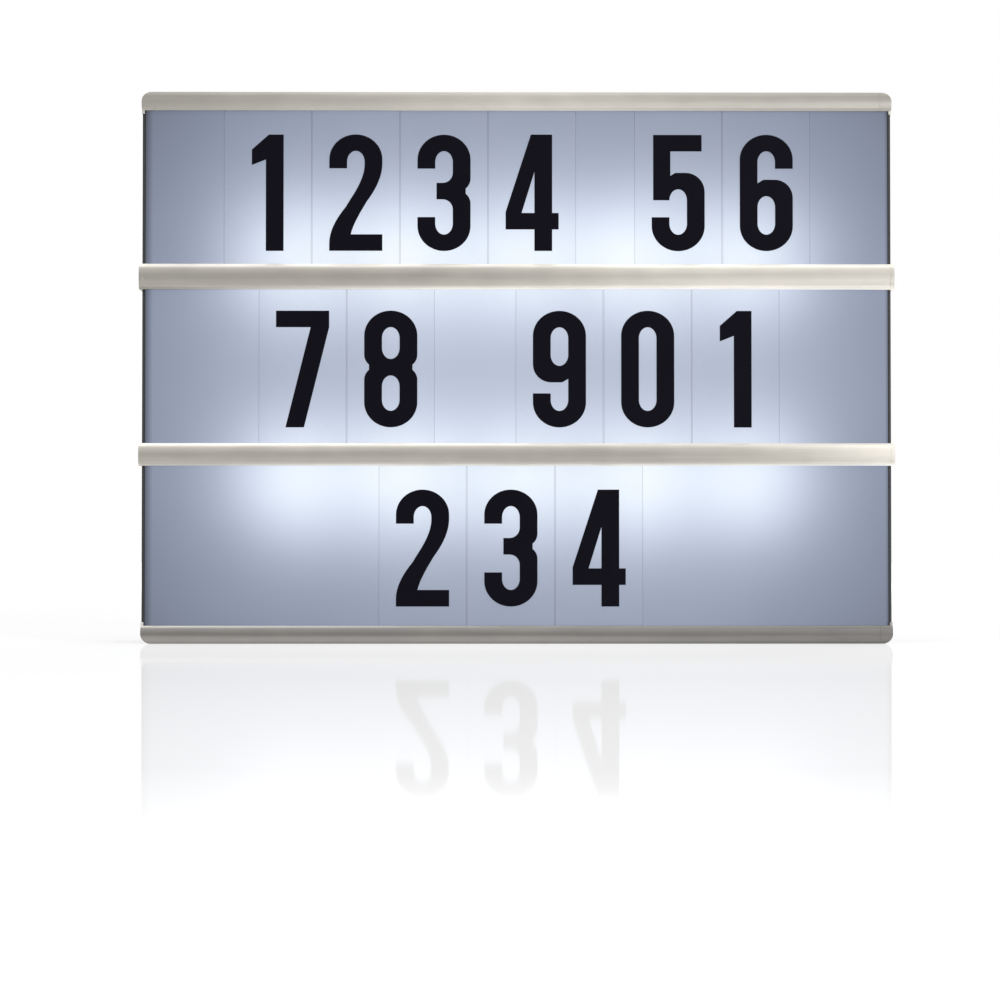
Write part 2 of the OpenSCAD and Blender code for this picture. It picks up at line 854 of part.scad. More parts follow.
// Plates on the end walls: each pair of plates joins two cells, and the single ones carry a solder tab
// or meet over the partition
module contact_plates() {
    color(steel) {
        mirror_x() {
            outer = [well_w / 2 - plate_t, well_w / 2];
            inner = [partition_t / 2, partition_t / 2 + plate_t];
            contact_plate(outer, 0, 0);
            block(outer, [well_front - tab_out, cell_y], [row_z(0) - tab_w / 2, row_z(0) + tab_w / 2]);
            contact_plate(outer, 1, 2);
            contact_plate(inner, 0, 1);
            contact_plate(inner, 2, 2);
        }
        block(
            [-partition_t / 2 - plate_t, partition_t / 2 + plate_t],
            [cell_y + plate_w / 2 - plate_t, cell_y + plate_w / 2],
            [row_z(2) - tab_w, row_z(2) + tab_w]
        );
        for (i = [0:5]) {
            at_cell(i) rod_x([bay_l - plate_t - dimple_h, bay_l - plate_t / 2], 0, 0, button_r - dimple_h);
        }
    }
}

module contact_plate(x, from, to) {
    half = plate_w / 2;
    block(x, [cell_y - half, cell_y + half], [row_z(from) - half, row_z(to) + half]);
}

// ---- Switch and inlet ----

// Slot that the stem of the knob runs in
module knob_slot(y) {
    half_w = (knob_w + knob_travel) / 2 + knob_play;
    half_h = knob_h / 2 + knob_play;
    block([switch_x - half_w, switch_x + half_w], y, [pocket_z - half_h, pocket_z + half_h]);
}

module switch_body() {
    slider_reach = (slider_w + knob_travel) / 2 + knob_play;
    slider_z = slider_h / 2 + knob_play;
    color("dimgray") {
        difference() {
            union() {
                block(
                    [switch_x - switch_w / 2, switch_x + switch_w / 2], [switch_back, pocket_back],
                    [pocket_z - switch_h / 2, pocket_z + switch_h / 2]
                );
                // Mounting ears against the back of the recess floor
                block(
                    [switch_x - switch_w / 2 - switch_ear, switch_x + switch_w / 2 + switch_ear],
                    [pocket_back - switch_ear_t, pocket_back],
                    [pocket_z - switch_h / 2, pocket_z + switch_h / 2]
                );
            }
            block(
                [switch_x - slider_reach, switch_x + slider_reach],
                [slider_y - knob_play, slider_y + slider_t + knob_play],
                [pocket_z - slider_z, pocket_z + slider_z]
            );
            knob_slot([slider_y, pocket_back + cut]);
        }
        for (k = [-1:1]) {
            solder_lug(switch_x + k * lug_dx, switch_back, pocket_z);
        }
    }
}

module solder_lug(x, y, z) {
    block([x - lug_w / 2, x + lug_w / 2], [y - lug_l, y + lap], [z - lug_t / 2, z + lug_t / 2]);
}

// The knob rests at the ON end of its slot
module switch_knob() {
    rest_x = switch_x - knob_travel / 2;
    top_y = pocket_y + knob_out;
    color([0.2, 0.2, 0.21]) {
        difference() {
            union() {
                block(
                    [rest_x - knob_w / 2, rest_x + knob_w / 2], [slider_y, top_y],
                    [pocket_z - knob_h / 2, pocket_z + knob_h / 2]
                );
                block(
                    [rest_x - slider_w / 2, rest_x + slider_w / 2], [slider_y, slider_y + slider_t],
                    [pocket_z - slider_h / 2, pocket_z + slider_h / 2]
                );
            }
            // Grip grooves across the top
            for (k = [-1:1]) {
                block(
                    [rest_x + k * knob_w / 4 - knob_groove / 2, rest_x + k * knob_w / 4 + knob_groove / 2],
                    [top_y - knob_groove, top_y + cut],
                    [pocket_z - knob_h, pocket_z + knob_h]
                );
            }
        }
    }
}

module dc_jack_body() {
    mouth_y = pocket_y + jack_flange_t;
    color("dimgray") {
        difference() {
            union() {
                rod_y(jack_x, [pocket_y, mouth_y], pocket_z, jack_flange_r);
                rod_y(jack_x, [pocket_back - lap, pocket_y + lap], pocket_z, jack_nose_r);
                rod_y(jack_x, [jack_back, pocket_back], pocket_z, jack_r);
                // Nut behind the recess floor
                translate([jack_x, pocket_back, pocket_z]) {
                    rotate([90, 0, 0]) cylinder(h = nut_t, r = nut_r, $fn = 6);
                }
            }
            rod_y(jack_x, [mouth_y - socket_d, mouth_y + cut], pocket_z, socket_r);
        }
        for (place = jack_lugs) {
            solder_lug(jack_x + place[0], jack_back, pocket_z + place[1]);
        }
    }
}

// Contact pin of the inlet, rounded off at its tip by a small cone
module dc_jack_pin() {
    root_y = pocket_y + jack_flange_t - socket_d;
    tip_y = pocket_y + jack_flange_t - pin_sink;
    color(steel) {
        rod_y(jack_x, [root_y, tip_y - pin_tip], pocket_z, socket_pin_r);
        translate([jack_x, tip_y, pocket_z]) rotate([90, 0, 0]) {
            cylinder(h = pin_tip, r1 = socket_pin_r - pin_tip, r2 = socket_pin_r);
        }
    }
}

// ---- Fasteners ----

module cover_screws() {
    seat_y = back_y - head_sink;
    head_y = seat_y + head_h;
    drive_y = [head_y - drive_d, head_y + cut];
    color(steel) {
        for (place = screw_places) {
            translate([place[0], 0, place[1]]) {
                difference() {
                    union() {
                        rod_y(0, [seat_y, head_y], 0, head_r);
                        rod_y(0, [seat_y - screw_l, seat_y + lap], 0, screw_r);
                    }
                    block([-drive_w / 2, drive_w / 2], drive_y, [-drive_t / 2, drive_t / 2]);
                    block([-drive_t / 2, drive_t / 2], drive_y, [-drive_w / 2, drive_w / 2]);
                }
            }
        }
    }
}

// ---- Wires ----

// Three points that round the corner b between a and c
function rounded_corner(a, b, c) = let (u = unit(a - b), w = unit(c - b))
    [b + wire_bend_r * u, b + wire_bend_r * (1 - sqrt(0.5)) * (u + w), b + wire_bend_r * w];

function rounded_path(points) = let (last = len(points) - 1)
    concat(
        [points[0]],
        [for (i = [1:last - 1]) each rounded_corner(points[i - 1], points[i], points[i + 1])],
        [points[last]]
    );

module wire(points) {
    sweep(rounded_path(points), wire_r, wire_sides, wire_up);
}

// Way from the wiring space through the reflector to the end of a board, on the given side
function board_lead(side, z) = [
    [side * lead_x, wire_y, z], [side * lead_x, board_wire_y, z], [side * board_l / 2, board_wire_y, z]
];

function reversed(list) = [for (i = [len(list) - 1:-1:0]) list[i]];

module positive_wires() {
    lug_tip = switch_back - lug_l;
    plus_z = lower_board_z + pad_dz;
    jack_plus = [jack_x + jack_lugs[0][0], pocket_z + jack_lugs[0][1]];
    color("firebrick") {
        // Battery to switch
        wire([
            [well_w / 2, wire_y, row_z(0)], [switch_x - lug_dx, wire_y, row_z(0)],
            [switch_x - lug_dx, wire_y, pocket_z], [switch_x - lug_dx, lug_tip, pocket_z]
        ]);
        // Inlet to switch
        wire([
            [switch_x + lug_dx, lug_tip, pocket_z], [switch_x + lug_dx, wire_y, pocket_z],
            [jack_plus[0], wire_y, jack_plus[1]], [jack_plus[0], jack_back - lug_l, jack_plus[1]]
        ]);
        // Switch to the lower board
        wire(concat(
            [[switch_x, lug_tip, pocket_z], [switch_x, wire_y, pocket_z], [switch_x, wire_y, plus_z]],
            board_lead(1, plus_z)
        ));
        // Lower board to upper board
        wire(concat(
            reversed(board_lead(-1, plus_z)),
            [[-lead_x + link_dx, wire_y, plus_z], [-lead_x + link_dx, wire_y, upper_board_z + pad_dz]],
            board_lead(-1, upper_board_z + pad_dz)
        ));
    }
}

module negative_wires() {
    minus_z = lower_board_z - pad_dz;
    jack_minus = [jack_x + jack_lugs[1][0], pocket_z + jack_lugs[1][1]];
    jack_shunt = [jack_x + jack_lugs[2][0], pocket_z + jack_lugs[2][1]];
    run_z = pocket_z - pocket_h / 2;
    color([0.1, 0.1, 0.1]) {
        // Battery to inlet
        wire([
            [-well_w / 2, wire_y, row_z(0)], [-well_w / 2 - link_dx, wire_y, row_z(0)],
            [-well_w / 2 - link_dx, wire_y, run_z], [jack_shunt[0], wire_y, run_z],
            [jack_shunt[0], wire_y, jack_shunt[1]], [jack_shunt[0], jack_back - lug_l, jack_shunt[1]]
        ]);
        // Inlet to the lower board
        wire(concat(
            [
                [jack_minus[0], jack_back - lug_l, jack_minus[1]], [jack_minus[0], wire_y, jack_minus[1]],
                [lead_x + link_dx, wire_y, jack_minus[1]], [lead_x + link_dx, wire_y, minus_z]
            ],
            board_lead(1, minus_z)
        ));
        // Lower board to upper board
        wire(concat(
            reversed(board_lead(-1, minus_z)),
            [[-lead_x - link_dx, wire_y, minus_z], [-lead_x - link_dx, wire_y, upper_board_z - pad_dz]],
            board_lead(-1, upper_board_z - pad_dz)
        ));
    }
}

// ---- The nodes ----

housing_frame();
back_cover();
battery_door();
diffuser_panel();
reflector_tray();
for (name = RAILS) {
    rail(name);
    right_cap(name);
    mirror([1, 0, 0]) right_cap(name);
}
for (row = [0:2]) {
    for (k = [0:len(CARD_X[row]) - 1]) {
        card(row, k);
    }
}
led_board(upper_board_z);  // led_board_upper
led_board(lower_board_z);  // led_board_lower
leds(upper_board_z);  // leds_upper
leds(lower_board_z);  // leds_lower
for (i = [0:5]) {
    at_cell(i) aa_cell();
}
battery_springs();
contact_plates();
switch_body();
switch_knob();
dc_jack_body();
dc_jack_pin();
cover_screws();
positive_wires();
negative_wires();
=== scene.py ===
"""Looks of the light box: materials, numerals on the cards, floor, lights and camera.

Metres, Z up, X to the right, the lit face looks along -Y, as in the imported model.
"""

import math

import bmesh
import bpy
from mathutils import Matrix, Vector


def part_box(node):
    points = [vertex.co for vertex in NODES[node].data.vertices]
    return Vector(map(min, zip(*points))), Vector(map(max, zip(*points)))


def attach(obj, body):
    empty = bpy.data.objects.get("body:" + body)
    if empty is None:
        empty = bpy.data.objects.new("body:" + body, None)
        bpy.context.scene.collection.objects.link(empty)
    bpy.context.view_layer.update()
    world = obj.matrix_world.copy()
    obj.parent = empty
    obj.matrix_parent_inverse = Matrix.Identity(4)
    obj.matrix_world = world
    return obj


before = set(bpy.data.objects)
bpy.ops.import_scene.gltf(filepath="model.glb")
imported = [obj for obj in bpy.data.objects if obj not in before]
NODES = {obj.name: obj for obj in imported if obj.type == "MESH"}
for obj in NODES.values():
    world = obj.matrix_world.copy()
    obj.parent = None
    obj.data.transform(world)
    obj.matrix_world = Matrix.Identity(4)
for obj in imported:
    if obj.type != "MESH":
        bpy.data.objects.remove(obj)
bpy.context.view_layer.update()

MM = 0.001
WHITE = (1.0, 1.0, 1.0)

# ---- Numerals, in millimetres ----

GLYPH_H = 46.6
GLYPH_W = 21.2
# Thickness of the upright and of the level strokes
STEM = 7.1
BAR = 6.6
# Height of the rounding at the end of a bowl, outside and inside
OUTER_BOW = 10.0
INNER_BOW = 4.4
# Height of the waist of a 3 and an 8, and the notch in their sides there
WAIST = 24.0
NOTCH_R = 5.0
NOTCH_TURN = 52
# From the foot or the head of a numeral to the cut end of an open bowl
OPENING = 13.6
# Thickness of the print
INK = 0.03

GLYPH_MIDDLE = GLYPH_W / 2
INNER_RIGHT = GLYPH_W - STEM
HEAD = GLYPH_H - BAR
OVER_WAIST = WAIST + BAR / 2
UNDER_WAIST = WAIST - BAR / 2

# Numerals from the top row down, one for each card, counting up
ROWS = ["123456", "78901", "234"]
# How far the numerals sit below the middle of their row
DROPS = [2.0, 1.0, 0.7]

# ---- Cards, in millimetres ----

# How far from a card's cut end its shade starts, and where it is full
RIM_START = 0.32
RIM_FULL = 0.12

# ---- Light behind the panel: places and spreads in millimetres, levels from 0 to 1 ----

# Middle of the two strips of lamps, and their heights
GLOW_X = 2.0
GLOW_Z = [154.2, 65.9]
LAMP_PITCH = 46.0
LAMP_COUNT = 5
# A spot over each lamp, and the wide light of a strip, which is even over its middle part
SPOT_SPREAD = 19.0
SPOT_LEVEL = 0.464
WIDE_SPREAD = 141.0
WIDE_LEVEL = 0.342
WIDE_HALF = 36.0
GLOW_LOSS = 0.2
# Shade along the panel's two ends: how wide it is and what light is left at the very edge
SHADES = {-1: (4.2, 0.28), 1: (2.4, 0.40)}
# Thickness of the housing's lip around the panel
LIP = 1.0
# Colour of the glow at each level
GLOW_COLOURS = [
    (0.0, (0.0, 0.0, 0.0)),
    (0.25, (0.215, 0.247, 0.335)),
    (0.45, (0.385, 0.432, 0.540)),
    (0.65, (0.580, 0.640, 0.770)),
    (0.85, (0.780, 0.850, 0.960)),
    (0.99, (0.930, 0.985, 0.990)),
]

# ---- Painted light and shade on the rails ----

# Painted light and shade on each rail, as runs that add up: highlights on its lips, a darker band
# across its face and light that changes along it. The first list of each pair goes from the rail's
# lower edge to its upper one, the second from its left end to its right one
# Painted reflection across a rail's face: lighter towards its edges and darker across the middle
MIDDLE_FACE_PAINTED_LIGHT = [
    (0.0, 1.18), (0.16, 1.18), (0.24, 1.15), (0.32, 1.09), (0.44, 0.98), (0.56, 0.97),
    (0.68, 1.13), (0.76, 1.28), (0.84, 1.48), (1.0, 1.5),
]
# Painted highlight along a rail's upper lip
UPPER_LIP_PAINTED_HIGHLIGHT = [
    (0.0, 0.0), (0.80, 0.0), (0.85, 0.25), (0.89, 0.8), (0.92, 1.3), (0.96, 1.5), (1.0, 1.5),
]
# Painted highlight along a rail's lower lip
LOWER_LIP_PAINTED_HIGHLIGHT = [
    (0.0, 1.9), (0.05, 1.6), (0.08, 1.0), (0.12, 0.3), (0.18, 0.05), (0.24, 0.0), (1.0, 0.0),
]
RAIL_PAINTED_LIGHT = {
    "top_rail": [
        (
            [
                (0.0, 1.8), (0.10, 1.65), (0.17, 1.25), (0.3, 1.15), (0.42, 1.11), (0.53, 1.12),
                (0.68, 1.14), (0.76, 1.17), (0.84, 1.32), (0.9, 1.35), (1.0, 1.5),
            ],
            [(0.0, 0.84), (0.5, 1.32), (1.0, 0.86)],
        ),
    ],
    "upper_rail": [
        (MIDDLE_FACE_PAINTED_LIGHT, [(0.0, 0.96), (0.35, 1.02), (0.56, 1.24), (0.75, 1.46), (1.0, 1.18)]),
        (UPPER_LIP_PAINTED_HIGHLIGHT, [(0.0, 1.2), (0.4, 0.9), (1.0, 0.8)]),
        (
            LOWER_LIP_PAINTED_HIGHLIGHT,
            [(0.0, 0.0), (0.05, 0.15), (0.14, 0.5), (0.33, 1.05), (0.8, 1.25), (1.0, 1.0)],
        ),
    ],
    "lower_rail": [
        (
            MIDDLE_FACE_PAINTED_LIGHT,
            [(0.0, 1.10), (0.35, 1.13), (0.56, 1.0), (0.75, 1.05), (0.88, 1.2), (1.0, 1.5)],
        ),
        (UPPER_LIP_PAINTED_HIGHLIGHT, [(0.0, 1.3), (0.4, 0.9), (0.7, 0.6), (1.0, 0.2)]),
        (LOWER_LIP_PAINTED_HIGHLIGHT, [(0.0, 0.5), (0.3, 0.95), (1.0, 1.2)]),
    ],
    "bottom_rail": [
        (
            [
                (0.0, 1.35), (0.05, 1.25), (0.12, 1.28), (0.22, 1.30), (0.33, 1.22),
                (0.42, 0.98), (0.5, 0.74), (0.61, 0.76), (0.72, 0.92), (0.83, 1.1),
                (0.89, 1.15), (1.0, 1.2),
            ],
            [(0.0, 1.0), (0.5, 0.95), (1.0, 0.60)],
        ),
        (
            [(0.0, 0.0), (0.85, 0.0), (0.89, 0.5), (0.94, 1.2), (1.0, 1.3)],
            [(0.0, 1.0), (0.3, 0.55), (0.5, 0.1), (1.0, 0.2)],
        ),
    ],
}
RAIL_COLOUR = (0.315, 0.300, 0.272)
# Painted shade: the bottom rail gets less light than the others, so its colour is darker
BOTTOM_RAIL_SHADED_COLOUR = (0.245, 0.234, 0.220)

# The cells that lie the other way round, in the middle of each column
TURNED_CELLS = ["aa_cell_2", "aa_cell_5"]

# Nearly all of a noise lies between these values
NOISE_LOW = 0.3
NOISE_HIGH = 0.7

# ---- Floor and surroundings: distances from the middle of the box, in metres ----

FLOOR_HALF = 6.0
# The floor is dimmer near the box than far away
DIM_END = 0.9
BRIGHT_START = 1.6
NEAR_LEVEL = 0.72
# Share of the mirror image close to the box and further out, and where it fades away
MIRROR_NEAR = 0.03
MIRROR_FAR = 0.30
MIRROR_SHARES = (0.24, 0.39)
FADE_START = 0.60
FADE_END = 0.80
# Strength of the light that the surroundings cast on the object
WORLD_LIGHT = 0.55


# ---- Node helpers ----


class Tree:
    """The nodes of a material or world, with short calls for the ones that are used here."""

    def __init__(self, owner):
        owner.use_nodes = True
        self.owner = owner
        self.nodes = owner.node_tree.nodes
        self.links = owner.node_tree.links
        # The shader that a new material or a new world starts with
        self.shader = self.nodes.get("Principled BSDF") or self.nodes["Background"]

    def put(self, socket, value):
        """Links an output to a socket, or sets the socket to a plain value."""
        if isinstance(value, bpy.types.NodeSocket):
            self.links.new(value, socket)
        elif socket.type == "RGBA" and len(value) == 3:
            socket.default_value = (*value, 1.0)
        else:
            socket.default_value = value

    def fill(self, node, inputs):
        """Fills a node's sockets, which are named with underscores for spaces."""
        for name, value in inputs.items():
            self.put(node.inputs[name.replace("_", " ")], value)

    def set(self, **inputs):
        """Fills sockets of the shader."""
        self.fill(self.shader, inputs)

    def node(self, kind, **inputs):
        """Adds a node."""
        made = self.nodes.new(kind)
        self.fill(made, inputs)
        return made

    def calculate(self, kind, operation, values):
        """Adds a node that does one operation on its values, in their order."""
        made = self.nodes.new(kind)
        made.operation = operation
        for socket, value in zip(made.inputs, values):
            self.put(socket, value)
        return made

    def math(self, operation, *values):
        """One operation on numbers."""
        return self.calculate("ShaderNodeMath", operation, values).outputs[0]

    def vector(self, operation, *values):
        """One operation on colours or vectors."""
        return self.calculate("ShaderNodeVectorMath", operation, values).outputs[0]

    def multiply(self, first, second):
        """The product of two colours."""
        return self.vector("MULTIPLY", first, second)

    def length(self, vector):
        """The length of a vector."""
        return self.calculate("ShaderNodeVectorMath", "LENGTH", [vector]).outputs["Value"]

    def where(self, kind="Object"):
        """The place of the point that is shaded."""
        return self.nodes.new("ShaderNodeTexCoord").outputs[kind]

    def axes(self, place):
        """X, Y and Z of a place."""
        return self.node("ShaderNodeSeparateXYZ", Vector=place).outputs

    def noise(self, place, scale, detail=3.0, stretch=(1.0, 1.0, 1.0)):
        """A noise from 0 to 1, finer along an axis where its stretch is larger."""
        mapping = self.node("ShaderNodeMapping", Vector=place, Scale=stretch)
        made = self.node(
            "ShaderNodeTexNoise", Vector=mapping.outputs[0], Scale=scale, Detail=detail
        )
        return made.outputs["Fac"]

    def span(self, value, low, high, to_low=0.0, to_high=1.0):
        """Maps a value from one span to another, held at both ends."""
        made = self.nodes.new("ShaderNodeMapRange")
        for socket, number in zip(made.inputs, (value, low, high, to_low, to_high)):
            self.put(socket, number)
        return made.outputs[0]

    def vary(self, noise, low=0.0, high=1.0):
        """Spreads a noise from low to high."""
        return self.span(noise, NOISE_LOW, NOISE_HIGH, low, high)

    def mix(self, factor, first, second):
        """A colour between two others."""
        made = self.nodes.new("ShaderNodeMix")
        made.data_type = "RGBA"
        for socket, value in ((0, factor), (6, first), (7, second)):
            self.put(made.inputs[socket], value)
        return made.outputs[2]

    def ramp(self, factor, stops, steps=False):
        """Colours at their places from 0 to 1, smooth between them or in plain steps."""
        made = self.node("ShaderNodeValToRGB", Fac=factor)
        if steps:
            made.color_ramp.interpolation = "CONSTANT"
        band = made.color_ramp.elements
        while len(band) < len(stops):
            band.new(0.5)
        for element, (position, colour) in zip(band, stops):
            element.position = position
            element.color = (*colour, 1.0)
        return made.outputs[0]

    def tones(self, factor, stops):
        """A ramp of plain factors instead of colours."""
        return self.ramp(factor, [(at, (painted_light,) * 3) for at, painted_light in stops])

    def bump(self, height, depth, strength, edge=0.0):
        """A bumped normal, its edges softened by a radius. Depth and edge in millimetres."""
        made = self.node(
            "ShaderNodeBump", Height=height, Distance=depth * MM, Strength=strength
        )
        if edge:
            soft = self.node("ShaderNodeBevel", Radius=edge * MM)
            self.links.new(soft.outputs[0], made.inputs["Normal"])
        return made.outputs[0]

    def seen(self):
        """1 where the camera looks, also by way of a mirror or clear film, and 0 otherwise."""
        rays = self.nodes.new("ShaderNodeLightPath").outputs
        direct = self.math("MAXIMUM", rays["Is Camera Ray"], rays["Is Glossy Ray"])
        return self.math("MAXIMUM", direct, rays["Is Transmission Ray"])


def material_tree(name):
    """The nodes of a new material."""
    return Tree(bpy.data.materials.new(name))


def toned(colour, factor):
    """A colour made darker or lighter."""
    return tuple(c * factor for c in colour)


# ---- Materials ----


def moulded_plastic(name, colour, roughness, grain=0.05, edge=0.4):
    """Moulded plastic with a fine spark-eroded grain and slightly uneven colour."""
    tree = material_tree(name)
    where = tree.where()
    cloud = tree.noise(where, 35.0, detail=2.0)
    fine = tree.noise(where, 1500.0)
    pits = tree.span(fine, 0.35, 0.65)
    light = tuple(c * 1.25 + 0.004 for c in colour)
    tree.set(
        Base_Color=tree.mix(pits, toned(colour, 0.78), tree.mix(cloud, colour, light)),
        Roughness=tree.vary(fine, roughness + 0.09, roughness - 0.07),
        Specular_IOR_Level=0.4,
        Normal=tree.bump(fine, grain, strength=0.9, edge=edge),
    )
    return tree.owner


def satin_rail(rail):
    """Champagne satin metal, faintly mottled, with the painted light and shade of one rail, also
    on its caps.
    """
    tree = material_tree(rail + "_satin")
    where = tree.where()
    axes = tree.axes(where)
    low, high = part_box(rail)
    height = tree.span(axes[2], low[2], high[2])
    length = tree.span(axes[0], low[0], high[0])
    # Painted light and shade: this rail's runs, added up
    painted_light = None
    for upright, along in RAIL_PAINTED_LIGHT[rail]:
        run = tree.multiply(tree.tones(height, upright), tree.tones(length, along))
        painted_light = tree.vector("ADD", painted_light, run) if painted_light else run
    brushed = tree.noise(where, 1400.0, stretch=(0.02, 1.0, 1.0))
    mottle = tree.noise(where, 110.0, stretch=(0.6, 1.0, 1.0))
    grain = tree.math(
        "ADD", tree.math("MULTIPLY", brushed, 0.4), tree.math("MULTIPLY", mottle, 0.6)
    )
    # The bottom rail takes the darker colour as painted shade
    colour = BOTTOM_RAIL_SHADED_COLOUR if rail == "bottom_rail" else RAIL_COLOUR
    plain = tree.mix(tree.vary(grain), toned(colour, 0.94), toned(colour, 1.06))
    tree.set(
        Base_Color=tree.multiply(plain, painted_light),
        Metallic=0.8,
        Roughness=tree.vary(grain, 0.34, 0.44),
        Normal=tree.bump(grain, 0.02, strength=0.6, edge=0.3),
    )
    return tree.owner


def lamp_places():
    """Where each lamp glows, as X and Z in millimetres."""
    middle = (LAMP_COUNT - 1) / 2
    return [
        (GLOW_X + (k - middle) * LAMP_PITCH, z) for z in GLOW_Z for k in range(LAMP_COUNT)
    ]


def panel_light(tree, x, z):
    """How bright the strips and lamps make each point of the panel."""

    def square_from(value, centre):
        away = tree.math("SUBTRACT", value, centre)
        return tree.math("MULTIPLY", away, away)

    def falloff(square_distance, spread, level):
        bell = tree.math("MULTIPLY", square_distance, -0.5 / spread**2)
        return tree.math("MULTIPLY", tree.math("EXPONENT", bell), level)

    off_middle = tree.math("ABSOLUTE", tree.math("SUBTRACT", x, GLOW_X))
    beyond = tree.math("MAXIMUM", tree.math("SUBTRACT", off_middle, WIDE_HALF), 0.0)
    total = -GLOW_LOSS
    for strip_z in GLOW_Z:
        reach = tree.math("ADD", square_from(z, strip_z), square_from(beyond, 0.0))
        total = tree.math("ADD", total, falloff(reach, WIDE_SPREAD, WIDE_LEVEL))
    for lamp_x, lamp_z in lamp_places():
        reach = tree.math("ADD", square_from(x, lamp_x), square_from(z, lamp_z))
        total = tree.math("ADD", total, falloff(reach, SPOT_SPREAD, SPOT_LEVEL))
    return total


def lit_panel(name):
    """Opal panel that glows brightest over the lamps and dims towards its ends."""
    tree = material_tree(name)
    where = tree.where()
    axes = tree.axes(where)
    x = tree.math("MULTIPLY", axes[0], 1 / MM)
    z = tree.math("MULTIPLY", axes[2], 1 / MM)
    cloud = tree.noise(where, 18.0, detail=2.0)
    level = tree.math("MULTIPLY", panel_light(tree, x, z), tree.vary(cloud, 0.97, 1.03))
    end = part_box("housing_frame")[1][0] / MM
    for side, (wide, left_over) in SHADES.items():
        outward = tree.math("MULTIPLY", x, side)
        shade = tree.span(outward, end - wide, end - LIP, 1.0, left_over)
        level = tree.math("MULTIPLY", level, shade)
    fine = tree.noise(where, 1800.0, detail=2.0)
    tree.set(
        Base_Color=tree.mix(cloud, (0.030, 0.033, 0.040), (0.036, 0.040, 0.048)),
        Roughness=tree.vary(fine, 0.42, 0.52),
        Specular_IOR_Level=0.15,
        Emission_Color=tree.ramp(level, GLOW_COLOURS),
        Emission_Strength=1.0,
        Normal=tree.bump(fine, 0.01, strength=0.3),
    )
    return tree.owner


def card_film(name):
    """Clear film whose cut edges catch a little shade."""
    tree = material_tree(name)
    across = tree.axes(tree.where("Generated"))[0]
    from_middle = tree.math("ABSOLUTE", tree.math("SUBTRACT", across, 0.5))
    low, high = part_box("card_1_1")
    width = (high[0] - low[0]) / MM
    rim = tree.span(from_middle, 0.5 - RIM_START / width, 0.5 - RIM_FULL / width)
    haze = tree.noise(tree.where(), 90.0)
    shade = tree.math("MULTIPLY", rim, 0.20)
    tree.set(
        Base_Color=tree.mix(rim, (0.50, 0.53, 0.60), (0.10, 0.11, 0.15)),
        Roughness=tree.vary(haze, 0.22, 0.34),
        Alpha=tree.math("ADD", shade, tree.vary(haze, 0.025, 0.045)),
        Specular_IOR_Level=0.3,
    )
    tree.owner.surface_render_method = "BLENDED"
    return tree.owner


def printed_ink(name):
    """Blue-black ink with a faint unevenness from the print roller."""
    tree = material_tree(name)
    where = tree.where()
    cloud = tree.noise(where, 120.0, stretch=(1.0, 1.0, 0.4))
    fine = tree.noise(where, 2500.0, detail=2.0)
    tree.set(
        Base_Color=tree.mix(cloud, (0.0030, 0.0025, 0.0055), (0.0050, 0.0045, 0.0090)),
        Roughness=tree.vary(fine, 0.50, 0.62),
        Specular_IOR_Level=0.04,
        Normal=tree.bump(fine, 0.01, strength=0.4),
    )
    return tree.owner


def sheet_white(name, colour, roughness):
    """White coated sheet or board with a slight cloudiness."""
    tree = material_tree(name)
    where = tree.where()
    cloud = tree.noise(where, 45.0)
    fine = tree.noise(where, 1500.0, detail=2.0)
    tree.set(
        Base_Color=tree.mix(cloud, toned(colour, 0.94), colour),
        Roughness=tree.vary(cloud, roughness - 0.05, roughness + 0.05),
        Normal=tree.bump(fine, 0.01, strength=0.3),
    )
    return tree.owner


def lamp_window(name):
    """Yellow phosphor window in a white body, lit."""
    tree = material_tree(name)
    cloud = tree.noise(tree.where(), 700.0, detail=2.0)
    tree.set(
        Base_Color=tree.mix(cloud, (0.92, 0.86, 0.55), (0.96, 0.93, 0.75)),
        Roughness=tree.vary(cloud, 0.25, 0.35),
        Emission_Color=(0.90, 0.95, 1.0),
        Emission_Strength=1.0,
    )
    return tree.owner


def plated_metal(name, colour, roughness):
    """Plated metal with fine drawing marks."""
    tree = material_tree(name)
    fine = tree.noise(tree.where(), 1200.0, stretch=(1.0, 0.2, 1.0))
    tree.set(
        Base_Color=tree.mix(fine, toned(colour, 0.88), colour),
        Metallic=1.0,
        Roughness=tree.vary(fine, roughness - 0.06, roughness + 0.08),
        Normal=tree.bump(fine, 0.01, strength=0.5, edge=0.15),
    )
    return tree.owner


def cell_sleeve(name, reverse):
    """Sleeve in two tones with bare ends, the lighter band towards the button."""
    tree = material_tree(name)
    along = tree.axes(tree.where("Generated"))[0]
    if reverse:
        along = tree.math("SUBTRACT", 1.0, along)
    fine = tree.noise(tree.where(), 1600.0, stretch=(0.1, 1.0, 1.0))
    base = (0.60, 0.60, 0.61)
    dark = (0.025, 0.027, 0.032)
    band = (0.52, 0.36, 0.20)
    button = (0.66, 0.66, 0.67)
    stops = [(0.0, base), (0.022, dark), (0.715, band), (0.962, button)]
    tree.set(
        Base_Color=tree.ramp(along, stops, steps=True),
        Metallic=0.85,
        Roughness=tree.vary(fine, 0.26, 0.36),
        Normal=tree.bump(fine, 0.01, strength=0.4),
    )
    return tree.owner


def insulation(name, colour):
    """Soft wire insulation with a faint sheen."""
    tree = material_tree(name)
    fine = tree.noise(tree.where(), 900.0)
    tree.set(
        Base_Color=tree.mix(fine, toned(colour, 0.85), colour),
        Roughness=tree.vary(fine, 0.38, 0.50),
        Normal=tree.bump(fine, 0.02, strength=0.4),
    )
    return tree.owner


